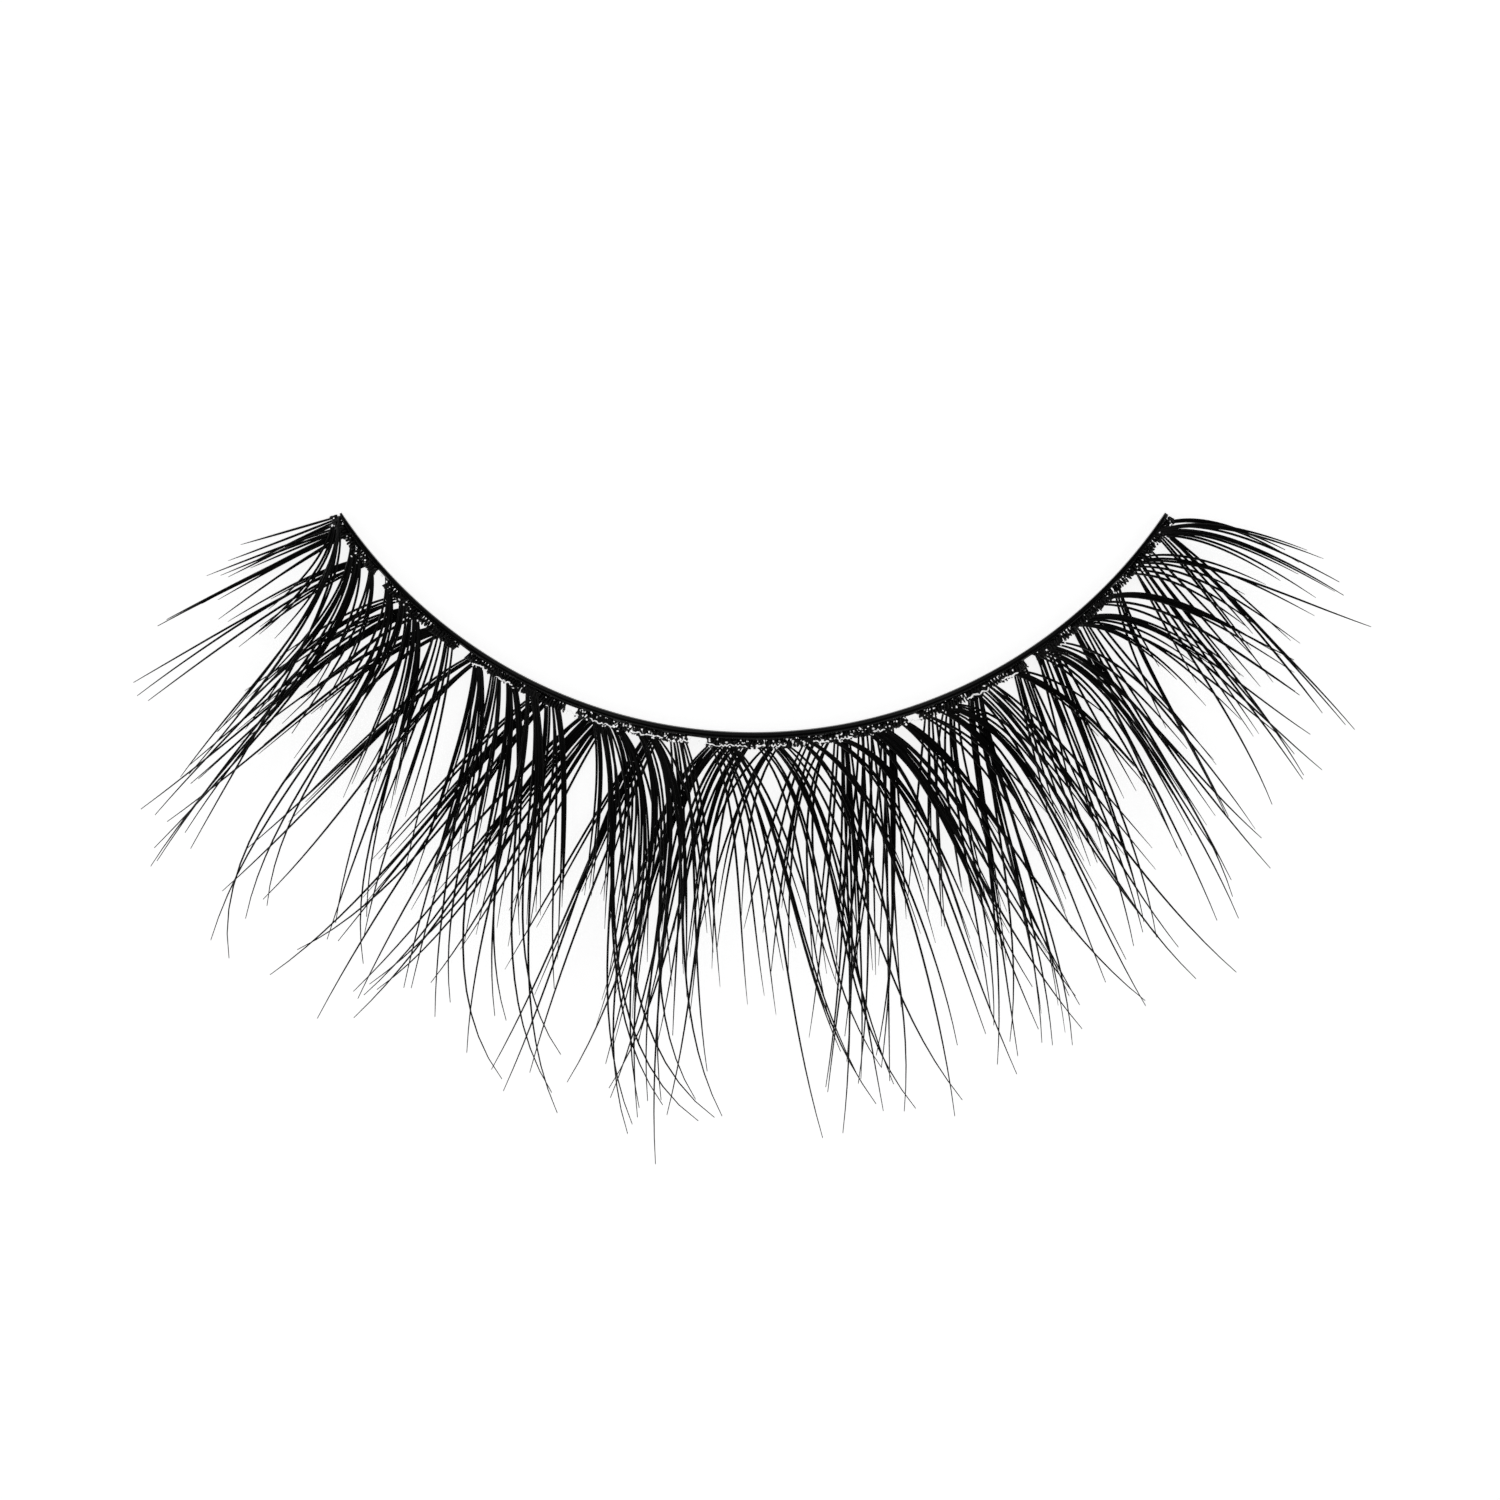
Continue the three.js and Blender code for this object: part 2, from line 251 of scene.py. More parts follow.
@dataclass(frozen=True)
class HairRun:
    """How every hair runs: it leaves at its root lean, bends, swings at its tip and curls up."""

    arc: BandArc
    bend_length: float = 2.2
    swing_length: float = 12.0
    swing_power: float = 3.0
    root_depth: float = 0.15
    tucked_length: float = 0.3
    belly_reach: float = 2.6
    curl_reach: float = 14.0
    curl_rise: float = 5.2
    curl_power: float = 1.8
    steps: int = 22
    step_power: float = 1.3
    substeps: int = 4

    def curl(self, x: float, y: float) -> float:
        """Finds how far the hair has risen above its layer.

        Args:
            x: The place seen from above, along the strip.
            y: The place seen from above, across the strip.

        Returns:
            The rise in millimetres.
        """
        past_belly = max(0.0, self.arc.distance_out(x, y) - self.belly_reach)
        share = past_belly / (self.curl_reach - self.belly_reach)
        return self.curl_rise * share**self.curl_power

    def trace(self, at: float, lean: Lean, length: float, base: float, curl_share: float) -> list[Vector]:
        """Follows one hair from inside its knot to its tip.

        Args:
            at: Where it leaves the band.
            lean: Which way it points.
            length: Its length seen from above.
            base: Height of its middle line at the root.
            curl_share: How strongly it curls, 1 as its solid does.

        Returns:
            Its points in millimetres, closer together near the root.
        """
        outward = at / self.arc.radius
        start = self.arc.point(at, self.arc.hair_side(at) + self.root_depth, base)
        first_lean = math.radians(lean.root)
        tucked_at = self.arc.held(at - self.tucked_length * math.sin(first_lean))
        tucked_out = self.arc.hair_side(at) + self.root_depth - self.tucked_length * math.cos(first_lean)
        points = [self.arc.point(tucked_at, tucked_out, base), start]
        x, y, run = start.x, start.y, 0.0
        for i in range(1, self.steps + 1):
            target = length * (i / self.steps) ** self.step_power
            stride = (target - run) / self.substeps
            for _ in range(self.substeps):
                run += stride / 2
                bent = lean.settled + (lean.root - lean.settled) * math.exp(-run / self.bend_length)
                swung = lean.swing * (run / self.swing_length) ** self.swing_power
                heading = outward + math.radians(bent + swung)
                run += stride / 2
                x += stride * math.sin(heading)
                y -= stride * math.cos(heading)
            points.append(Vector((x, y, base + self.curl(x, y) * curl_share)))
        return points


@dataclass(frozen=True)
class Winding:
    """How the fine binding thread is wound: uneven loops that lie beside the band."""

    arc: BandArc
    depth_middle: float = 0.27
    depth_end: float = 0.26
    rise: float = 0.03
    pitch: float = 0.11
    turn_points: int = 9
    radius: float = 0.028
    swell_low: float = 0.6
    swell_high: float = 1.25
    swell_pace: float = 0.3
    slip: float = 0.012
    twist: float = 0.06

    def thread(self, start: float, end: float, height: float, draw: random.Random) -> Strand:
        """Winds the thread along a stretch of the band.

        Args:
            start: Where it starts along the band.
            end: Where it ends.
            height: Height of the loops' middle.
            draw: The run of random draws to use.

        Returns:
            The thread as one strand.
        """
        total = max(1, round((end - start) / self.pitch)) * self.turn_points
        points = []
        wander = 0.0
        swell = 1.0
        for i in range(total + 1):
            at = lerp(start, end, i / total) + draw.gauss(0, self.slip)
            wander += draw.gauss(0, self.twist)
            swell = lerp(swell, draw.uniform(self.swell_low, self.swell_high), self.swell_pace)
            angle = math.tau * i / self.turn_points + wander
            depth = lerp(self.depth_end, self.depth_middle, math.cos(math.pi * at / self.arc.length))
            out = self.arc.hair_side(at) + swell * depth * (1 + math.cos(angle)) / 2
            points.append(self.arc.point(at, out, height + self.rise * math.sin(angle)))
        return Strand(points, [self.radius] * len(points), draw.random(), [1.0] * len(points))


class NodeSheet:
    """A node tree under construction, with short ways to add nodes and links."""

    def __init__(self, tree: bpy.types.NodeTree) -> None:
        """Takes the tree to work on."""
        self.tree = tree

    def add(self, kind: str, **settings: object) -> bpy.types.Node:
        """Adds a node.

        Args:
            kind: The node's class name.
            settings: Values for its own properties.

        Returns:
            The node.
        """
        node = self.tree.nodes.new(kind)
        for name, value in settings.items():
            setattr(node, name, value)
        return node

    def link(self, source: bpy.types.NodeSocket, target: bpy.types.NodeSocket) -> None:
        """Joins an output to an input."""
        self.tree.links.new(source, target)


class NodeGroup(NodeSheet):
    """A Geometry Nodes tree with named inputs that turns a guide mesh into a finished piece."""

    def __init__(self, name: str) -> None:
        """Starts an empty tree with its two end nodes.

        Args:
            name: The tree's name.
        """
        super().__init__(bpy.data.node_groups.new(name, "GeometryNodeTree"))
        self.identifiers: dict[str, str] = {}
        self.entry = self.tree.nodes.new("NodeGroupInput")
        self.exit = self.tree.nodes.new("NodeGroupOutput")
        self.tree.interface.new_socket("Geometry", in_out="INPUT", socket_type="NodeSocketGeometry")
        self.tree.interface.new_socket("Geometry", in_out="OUTPUT", socket_type="NodeSocketGeometry")

    def add_input(self, name: str, kind: str) -> bpy.types.NodeSocket:
        """Adds a named input.

        Args:
            name: The input's name.
            kind: The last word of its socket class, such as Float.

        Returns:
            The socket that carries it inside the tree.
        """
        socket = self.tree.interface.new_socket(name, in_out="INPUT", socket_type=f"NodeSocket{kind}")
        self.identifiers[name] = socket.identifier
        return self.entry.outputs[name]

    def attribute(self, name: str, kind: str = "FLOAT") -> bpy.types.NodeSocket:
        """Reads a named attribute of the guide.

        Args:
            name: The attribute's name.
            kind: Its data type.

        Returns:
            The output that carries it.
        """
        node = self.add("GeometryNodeInputNamedAttribute", data_type=kind)
        node.inputs["Name"].default_value = name
        return node.outputs["Attribute"]

    def end(self, geometry: bpy.types.NodeSocket, finish: bpy.types.NodeSocket) -> None:
        """Ends the tree with smooth shading, realised instances and the finish.

        Args:
            geometry: The output that carries the made shape.
            finish: The output that carries the material.
        """
        smooth = self.add("GeometryNodeSetShadeSmooth")
        realize = self.add("GeometryNodeRealizeInstances")
        dress = self.add("GeometryNodeSetMaterial")
        self.link(geometry, smooth.inputs["Geometry"])
        self.link(smooth.outputs["Geometry"], realize.inputs["Geometry"])
        self.link(realize.outputs["Geometry"], dress.inputs["Geometry"])
        self.link(finish, dress.inputs["Material"])
        self.link(dress.outputs["Geometry"], self.exit.inputs["Geometry"])

    def make(self, name: str, guide: bpy.types.Mesh, **values: object) -> bpy.types.Object:
        """Runs the tree on a guide mesh and keeps the result as a plain mesh.

        Args:
            name: The piece's name.
            guide: The mesh that the tree works on.
            values: The tree's inputs, with underscores for spaces.

        Returns:
            The finished piece.
        """
        piece = link_object(name, guide)
        modifier = piece.modifiers.new(self.tree.name, "NODES")
        modifier.node_group = self.tree
        for word, value in values.items():
            modifier[self.identifiers[word.replace("_", " ")]] = value
        depsgraph = bpy.context.evaluated_depsgraph_get()
        made = bpy.data.meshes.new_from_object(
            piece.evaluated_get(depsgraph), preserve_all_data_layers=True, depsgraph=depsgraph
        )
        piece.modifiers.remove(modifier)
        piece.data = made
        made.name = name
        bpy.data.meshes.remove(guide)
        return piece


class StrandSweep(NodeGroup):
    """Gives every line of a guide mesh a round section whose radius follows the line."""

    def __init__(self) -> None:
        """Builds the tree: lines become curves, and a small circle is pushed along them."""
        super().__init__("strand_sweep")
        sides = self.add_input("Sides", "Int")
        fullness = self.add_input("Fullness", "Float")
        finish = self.add_input("Finish", "Material")
        curve = self.add("GeometryNodeMeshToCurve")
        section = self.add("GeometryNodeCurvePrimitiveCircle")
        section.inputs["Radius"].default_value = 1.0
        scale = self.add("ShaderNodeMath", operation="MULTIPLY")
        sweep = self.add("GeometryNodeCurveToMesh")
        sweep.inputs["Fill Caps"].default_value = True
        self.link(self.entry.outputs["Geometry"], curve.inputs["Mesh"])
        self.link(sides, section.inputs["Resolution"])
        self.link(self.attribute("thickness"), scale.inputs[0])
        self.link(fullness, scale.inputs[1])
        self.link(curve.outputs["Curve"], sweep.inputs["Curve"])
        self.link(section.outputs["Curve"], sweep.inputs["Profile Curve"])
        self.link(scale.outputs["Value"], sweep.inputs["Scale"])
        self.end(sweep.outputs["Mesh"], finish)

    @staticmethod
    def guide(name: str, strands: list[Strand]) -> bpy.types.Mesh:
        """Lays strands out as loose lines.

        Args:
            name: The mesh's name.
            strands: The lines, in millimetres.

        Returns:
            A mesh of edges in metres, with the attributes thickness, tone and wet on its points.
        """
        points: list[Vector] = []
        edges: list[tuple[int, int]] = []
        thickness: list[float] = []
        tone: list[float] = []
        wet: list[float] = []
        for strand in strands:
            first = len(points)
            last = len(strand.points) - 1
            points.extend(point * MM for point in strand.points)
            edges.extend((first + i, first + i + 1) for i in range(last))
            thickness.extend(radius * MM for radius in strand.radii)
            tone.extend([strand.tone] * (last + 1))
            wet.extend(strand.wet)
        mesh = bpy.data.meshes.new(name + "_guide")
        mesh.from_pydata(points, edges, [])
        for word, values in {"thickness": thickness, "tone": tone, "wet": wet}.items():
            mesh.attributes.new(word, "FLOAT", "POINT").data.foreach_set("value", values)
        return mesh


class BeadScatter(NodeGroup):
    """Sets a small lumpy bead on every point of a guide mesh."""

    def __init__(self) -> None:
        """Builds the tree: a ball for each point, turned and stretched, then pushed out of round."""
        super().__init__("bead_scatter")
        lumps = self.add_input("Lumps Per Metre", "Float")
        depth = self.add_input("Lump Depth", "Float")
        seed = self.add_input("Seed", "Int")
        finish = self.add_input("Finish", "Material")
        ball = self.add("GeometryNodeMeshIcoSphere")
        ball.inputs["Radius"].default_value = 1.0
        ball.inputs["Subdivisions"].default_value = 2
        turn = self.add("FunctionNodeRandomValue", data_type="FLOAT_VECTOR")
        turn.inputs["Max"].default_value = (math.tau, math.tau, math.tau)
        place = self.add("GeometryNodeInstanceOnPoints")
        realize = self.add("GeometryNodeRealizeInstances")
        position = self.add("GeometryNodeInputPosition")
        noise = self.add("ShaderNodeTexNoise")
        centred = self.add("ShaderNodeVectorMath", operation="SUBTRACT")
        centred.inputs[1].default_value = (0.5, 0.5, 0.5)
        push = self.add("ShaderNodeVectorMath", operation="SCALE")
        shift = self.add("GeometryNodeSetPosition")
        self.link(seed, turn.inputs["Seed"])
        self.link(self.entry.outputs["Geometry"], place.inputs["Points"])
        self.link(ball.outputs["Mesh"], place.inputs["Instance"])
        self.link(turn.outputs["Value"], place.inputs["Rotation"])
        self.link(self.attribute("stretch", "FLOAT_VECTOR"), place.inputs["Scale"])
        self.link(place.outputs["Instances"], realize.inputs["Geometry"])
        self.link(position.outputs["Position"], noise.inputs["Vector"])
        self.link(lumps, noise.inputs["Scale"])
        self.link(noise.outputs["Color"], centred.inputs[0])
        self.link(centred.outputs["Vector"], push.inputs[0])
        self.link(depth, push.inputs["Scale"])
        self.link(realize.outputs["Geometry"], shift.inputs["Geometry"])
        self.link(push.outputs["Vector"], shift.inputs["Offset"])
        self.end(shift.outputs["Geometry"], finish)


class ShaderSheet(NodeSheet):
    """A material under construction around one Principled shader."""

    def __init__(self, name: str) -> None:
        """Starts a material with a shader and an output.

        Args:
            name: The material's name.
        """
        self.material = bpy.data.materials.new(name)
        self.material.use_nodes = True
        super().__init__(self.material.node_tree)
        self.tree.nodes.clear()
        self.shader = self.add("ShaderNodeBsdfPrincipled")
        output = self.add("ShaderNodeOutputMaterial")
        self.link(self.shader.outputs["BSDF"], output.inputs["Surface"])
        self.coordinates = self.add("ShaderNodeTexCoord")

    def constant(self, **values: float) -> None:
        """Sets shader sockets that are the same all over, with underscores for spaces."""
        for word, value in values.items():
            self.shader.inputs[word.replace("_", " ")].default_value = value

    def glow(self, strength: float) -> None:
        """Lets the surface give off plain white light."""
        self.shader.inputs["Emission Color"].default_value = WHITE
        self.shader.inputs["Emission Strength"].default_value = strength

    def noise(self, space: str, grain: float, detail: float) -> bpy.types.NodeSocket:
        """Adds a noise pattern.

        Args:
            space: The coordinates to read, Object or UV.
            grain: Grains for each unit of those coordinates.
            detail: Finer layers in the noise.

        Returns:
            The output with its strength from 0 to 1.
        """
        texture = self.add("ShaderNodeTexNoise")
        texture.inputs["Scale"].default_value = grain
        texture.inputs["Detail"].default_value = detail
        self.link(self.coordinates.outputs[space], texture.inputs["Vector"])
        return texture.outputs["Fac"]

    def attribute(self, name: str) -> bpy.types.NodeSocket:
        """Returns the output with the strength of the piece's own attribute."""
        return self.add("ShaderNodeAttribute", attribute_name=name).outputs["Fac"]

    def spread(self, source: bpy.types.NodeSocket, low: float, high: float) -> bpy.types.NodeSocket:
        """Maps a strength from 0 to 1 to a range.

        Args:
            source: The output with the strength.
            low: What 0 becomes.
            high: What 1 becomes.

        Returns:
            The output with the mapped value.
        """
        mapped = self.add("ShaderNodeMapRange")
        mapped.inputs["To Min"].default_value = low
        mapped.inputs["To Max"].default_value = high
        self.link(source, mapped.inputs["Value"])
        return mapped.outputs["Result"]

    def vary(self, word: str, source: bpy.types.NodeSocket, low: float, high: float) -> None:
        """Lets one of the shader's inputs follow a strength from 0 to 1 between two values."""
        self.link(self.spread(source, low, high), self.shader.inputs[word])

    def times(self, first: bpy.types.NodeSocket, second: bpy.types.NodeSocket) -> bpy.types.NodeSocket:
        """Multiplies two outputs.

        Args:
            first: The one output.
            second: The other output.

        Returns:
            The output with their product.
        """
        product = self.add("ShaderNodeMath", operation="MULTIPLY")
        self.link(first, product.inputs[0])
        self.link(second, product.inputs[1])
        return product.outputs["Value"]

    def shade(self, source: bpy.types.NodeSocket, dark: Shade, light: Shade) -> None:
        """Colours the surface between two shades.

        Args:
            source: The output that picks the shade, 0 for dark and 1 for light.
            dark: The darker shade, red, green and blue.
            light: The lighter shade.
        """
        mix = self.add("ShaderNodeMix", data_type="RGBA")
        mix.inputs["A"].default_value = (*dark, 1.0)
        mix.inputs["B"].default_value = (*light, 1.0)
        self.link(source, mix.inputs["Factor"])
        self.link(mix.outputs["Result"], self.shader.inputs["Base Color"])

    def bump(self, source: bpy.types.NodeSocket, strength: float, depth: float) -> None:
        """Raises the surface by a pattern.

        Args:
            source: The output with the pattern's height.
            strength: How strongly it shows, from 0 to 1.
            depth: Its height in metres.
        """
        raised = self.add("ShaderNodeBump")
        raised.inputs["Strength"].default_value = strength
        raised.inputs["Distance"].default_value = depth
        self.link(source, raised.inputs["Height"])
        self.link(raised.outputs["Normal"], self.shader.inputs["Normal"])


@dataclass(frozen=True)
class HairFinish:
    """Black polyester fibre: each hair has its own depth of black, and the glued knots are glossier."""

    dark: Shade = (0.0022, 0.0022, 0.0024)
    light: Shade = (0.0095, 0.0092, 0.0092)
    gloss_low: float = 0.24
    gloss_high: float = 0.42
    specular: float = 0.16
    wet_specular: float = 0.6
    grain: float = 6000.0
    grain_detail: float = 2.0
    grain_depth: float = 4e-6
    grain_strength: float = 0.35
    mottle_low: float = 0.5
    mottle_high: float = 1.5

    def material(self) -> bpy.types.Material:
        """Builds the finish.

        Returns:
            The material.
        """
        sheet = ShaderSheet("hair_fibre")
        sheet.vary("Specular IOR Level", sheet.attribute("wet"), self.specular, self.wet_specular)
        grain = sheet.noise("Object", self.grain, self.grain_detail)
        mottle = sheet.spread(grain, self.mottle_low, self.mottle_high)
        sheet.shade(sheet.times(sheet.attribute("tone"), mottle), self.dark, self.light)
        sheet.vary("Roughness", grain, self.gloss_low, self.gloss_high)
        sheet.bump(grain, self.grain_strength, self.grain_depth)
        return sheet.material


@dataclass(frozen=True)
class BandFinish:
    """Satin black coated thread: fine lengthwise filaments under a thin, uneven coat."""

    dark: Shade = (0.002, 0.002, 0.0022)
    light: Shade = (0.008, 0.0078, 0.008)
    gloss_low: float = 0.1
    gloss_high: float = 0.2
    specular: float = 0.08
    coat_specular: float = 0.6
    coat_grain: float = 260.0
    coat_detail: float = 1.0
    grain: float = 3500.0
    grain_detail: float = 3.0
    filaments: float = 2.2
    filament_waver: float = 1.5
    filament_depth: float = 1.4e-5
    filament_strength: float = 0.8

    def material(self) -> bpy.types.Material:
        """Builds the finish.

        Returns:
            The material.
        """
        sheet = ShaderSheet("band_coat")
        coat = sheet.noise("Object", self.coat_grain, self.coat_detail)
        sheet.vary("Specular IOR Level", coat, self.specular, self.coat_specular)
        grain = sheet.noise("Object", self.grain, self.grain_detail)
        threads = sheet.add("ShaderNodeTexWave", wave_type="BANDS", bands_direction="Y")
        threads.inputs["Scale"].default_value = self.filaments
        threads.inputs["Distortion"].default_value = self.filament_waver
        sheet.link(sheet.coordinates.outputs["UV"], threads.inputs["Vector"])
        sheet.shade(grain, self.dark, self.light)
        sheet.vary("Roughness", grain, self.gloss_low, self.gloss_high)
        sheet.bump(threads.outputs["Fac"], self.filament_strength, self.filament_depth)
        return sheet.material


@dataclass(frozen=True)
class GlueFinish:
    """Clear glue that dried milky, with a painted glow: it gives off plain white light of its own, so its
    beads and seam show as bright specks.
    """

    dark: Shade = (0.8, 0.8, 0.81)
    light: Shade = (0.97, 0.97, 0.97)
    gloss_low: float = 0.08
    gloss_high: float = 0.26
    clearness: float = 0.1
    bending: float = 1.47
    # Painted light: the strength of the white glow that the glue gives off itself, which stands in for its
    # glints.
    glow: float = 0.45
    grain: float = 9000.0
    grain_detail: float = 2.0

    def material(self) -> bpy.types.Material:
        """Builds the finish.

        Returns:
            The material.
        """
        sheet = ShaderSheet("milky_glue_painted_glow")
        sheet.constant(Transmission_Weight=self.clearness, IOR=self.bending)
        # Painted glow: the glue gives off white light of its own, though it is no lamp.
        sheet.glow(self.glow)
        grain = sheet.noise("Object", self.grain, self.grain_detail)
        sheet.shade(grain, self.dark, self.light)
        sheet.vary("Roughness", grain, self.gloss_low, self.gloss_high)
        return sheet.material


@dataclass(frozen=True)
class FloorFinish:
    """Plain white opal sheet of a light table, lit softly from below, with a barely visible mottle."""

    dark: Shade = (0.86, 0.86, 0.86)
    light: Shade = (0.9, 0.9, 0.9)
    roughness: float = 0.9
    specular: float = 0.1
    glow: float = 0.86
    grain: float = 3.0
    grain_detail: float = 1.0

    def material(self) -> bpy.types.Material:
        """Builds the finish.

        Returns:
            The material.
        """
        sheet = ShaderSheet("studio_floor")
        sheet.constant(Roughness=self.roughness, Specular_IOR_Level=self.specular)
        sheet.glow(self.glow)
        sheet.shade(sheet.noise("Object", self.grain, self.grain_detail), self.dark, self.light)
        return sheet.material


@dataclass
class LashBand:
    """The thin black strip that all hair is tied to: crowned, pointed at the left and blunt at the right."""

    arc: BandArc
    finish: bpy.types.Material
    stations: int = 200
    section_points: int = 20
    squareness: float = 0.55
    pointed_end: float = 0.4
    point_width: float = 0.08
    blunt_end: float = 0.25
    blunt_share: float = 0.85
    waver: float = 0.008
    waver_pitch: float = 1.7

    def width(self, at: float) -> float:
        """Finds the band's width, drawn in at its ends.

        Args:
            at: Distance along the band from its middle.

        Returns:
            The width in millimetres.
        """
        full = self.arc.hair_side(at) - self.arc.lid_side
        left_share = min(1.0, (at + self.arc.length / 2) / self.pointed_end)
        right_share = min(1.0, (self.arc.length / 2 - at) / self.blunt_end)
        pointed = lerp(self.point_width, full, left_share)
        blunt = lerp(self.blunt_share * full, full, right_share)
        return min(pointed, blunt)

    def ring(self, at: float) -> list[Vector]:
        """Places one section of the band.

        Args:
            at: Distance along the band from its middle.

        Returns:
            The section's points in metres, the same way round at every place.
        """
        waver = self.waver * math.sin(math.tau * at / self.waver_pitch)
        width = self.width(at) + waver
        points = []
        for i in range(self.section_points):
            angle = math.tau * i / self.section_points
            across = math.copysign(abs(math.cos(angle)) ** self.squareness, math.cos(angle))
            up = math.copysign(abs(math.sin(angle)) ** self.squareness, math.sin(angle))
            out = self.arc.lid_side + width * (1 + across) / 2
            points.append(self.arc.point(at, out, self.arc.height * (1 + up) / 2) * MM)
        return points

    def build(self) -> bpy.types.Object:
        """Lofts the sections into one closed strip and dresses it.

        Returns:
            The band, which stands for its solid.
        """
        shape = bmesh.new()
        chart = shape.loops.layers.uv.new("band_chart")
        rings = []
        for i in range(self.stations + 1):
            at = lerp(-self.arc.length / 2, self.arc.length / 2, i / self.stations)
            rings.append([shape.verts.new(point) for point in self.ring(at)])
        for i in range(self.stations):
            for j in range(self.section_points):
                k = (j + 1) % self.section_points
                face = shape.faces.new((rings[i][j], rings[i + 1][j], rings[i + 1][k], rings[i][k]))
                face.smooth = True
                corners = ((i, j), (i + 1, j), (i + 1, j + 1), (i, j + 1))
                for loop, (station, place) in zip(face.loops, corners):
                    loop[chart].uv = (station / self.stations, place / self.section_points)
        shape.faces.new(rings[0])
        shape.faces.new(reversed(rings[-1]))
        bmesh.ops.recalc_face_normals(shape, faces=shape.faces)
        mesh = bpy.data.meshes.new("lash_band")
        shape.to_mesh(mesh)
        shape.free()
        mesh.materials.append(self.finish)
        piece = link_object("lash_band", mesh)
        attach(piece, BODY)
        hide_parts("band")
        return piece


@dataclass
class HairCluster:
    """One knotted bundle: the wound root knot, its locks of hairs and its long wisps."""

    row: Row
    number: int
    cluster: Cluster
    run: HairRun
    winding: Winding
    sweep: StrandSweep
    finish: bpy.types.Material
    layer_height: float = 0.16
    lock_sizes: tuple[int, ...] = (1, 1, 2, 2, 3, 3)
    lock_width: float = 0.08
    loose_pitch: float = 0.08
    fan: float = 7.0
    hair_radius: float = 0.047
    wisp_radius: float = 0.047
    hair_tip: float = 0.009
    wisp_tip: float = 0.014
    hair_taper: float = 4.0
    wisp_taper: float = 4.2
    lift: float = 0.075
    lift_spread: float = 0.025
    curl_spread: float = 0.07
    root_spread: float = 2.0
    settled_spread: float = 1.4
    stray: float = 0.5
    lock_swing_low: float = 0.5
    lock_swing_high: float = 1.2
    hair_swing_low: float = 0.7
    hair_swing_high: float = 1.3
    wisp_spread: float = 3.2
    wisp_length_low: float = 0.8
    wisp_length_high: float = 1.02
    wisp_swing_low: float = 0.9
    wisp_swing_high: float = 1.6
    wisp_hook: float = 7.0
    length_low: float = 0.75
    length_high: float = 1.3
    knot_overhang: float = 0.04
    root_share: float = 0.76
    belly_share: float = 0.3
    root_wet: float = 0.7
    wet_reach: float = 0.35
    sides: int = 5
    draw: random.Random = field(init=False)

    def __post_init__(self) -> None:
        """Fixes the cluster's own run of random draws."""
        self.draw = random.Random(f"{self.row.word} {self.number}")

    @property
    def name(self) -> str:
        """Returns the name of the solid that the bundle stands for."""
        return f"{self.row.word}_cluster_{self.number:02d}"

    @property
    def base(self) -> float:
        """Returns the height of the middle line of its hairs at the root."""
        layer = self.row.first_layer + (self.number - 1) % 2
        return layer * self.layer_height + self.lift

    def strand(self, at: float, lean: Lean, length: float, radius: float, tip: float, taper: float) -> Strand:
        """Traces one hair with its own small lift, curl and tone.

        Args:
            at: Where it leaves the band.
            lean: Which way it points.
            length: Its length seen from above.
            radius: Its radius at the root.
            tip: Its radius at the tip.
            taper: How long it stays thick: 1 thins evenly, more thins late.

        Returns:
            The hair as a tapered strand.
        """
        base = self.base + self.draw.uniform(-self.lift_spread, self.lift_spread)
        points = self.run.trace(at, lean, length, base, self.draw.gauss(1.0, self.curl_spread))
        last = len(points) - 1
        shares = [i / last for i in range(last + 1)]
        swell = [lerp(self.root_share, 1.0, min(1.0, share / self.belly_share)) for share in shares]
        radii = [lerp(radius, tip, share**taper) * full for share, full in zip(shares, swell)]
        wet = [self.root_wet * max(0.0, 1 - share / self.wet_reach) for share in shares]
        return Strand(points, radii, self.draw.random(), wet)

    def locks(self) -> list[int]:
        """Parts the hairs into locks of one to three, or into single hairs where the roots lie far apart.

        Returns:
            How many hairs each lock holds, from left to right.
        """
        pitch = self.cluster.width / self.cluster.hairs * math.cos(math.radians(self.cluster.root))
        choices = (1,) if pitch > self.loose_pitch else self.lock_sizes
        sizes = []
        left = self.cluster.hairs
        while left > 0:
            size = min(left, self.draw.choice(choices))
            sizes.append(size)
            left -= size
        return sizes

    def hairs(self) -> list[Strand]:
        """Traces the hairs of its locks: those of one lock leave together and run side by side.

        Returns:
            The hairs as strands.
        """
        made = []
        count = self.cluster.hairs
        first = 0
        for size in self.locks():
            share = (2 * first + size) / count - 1
            first += size
            lock = Lean(
                self.cluster.root + share * self.fan + self.draw.gauss(0, self.root_spread),
                self.cluster.settled + share * self.fan + self.draw.gauss(0, self.settled_spread),
                self.cluster.swing * self.draw.uniform(self.lock_swing_low, self.lock_swing_high),
            )
            for i in range(size):
                offset = (2 * i + 1 - size) * self.lock_width / 2
                at = self.cluster.at + share * self.cluster.width / 2 + offset
                lean = Lean(
                    lock.root + self.draw.gauss(0, self.stray),
                    lock.settled + self.draw.gauss(0, self.stray),
                    lock.swing * self.draw.uniform(self.hair_swing_low, self.hair_swing_high),
                )
                length = self.cluster.length * self.draw.uniform(self.length_low, self.length_high)
                radii = (self.hair_radius, self.hair_tip, self.hair_taper)
                made.append(self.strand(at, lean, length, *radii))
        return made

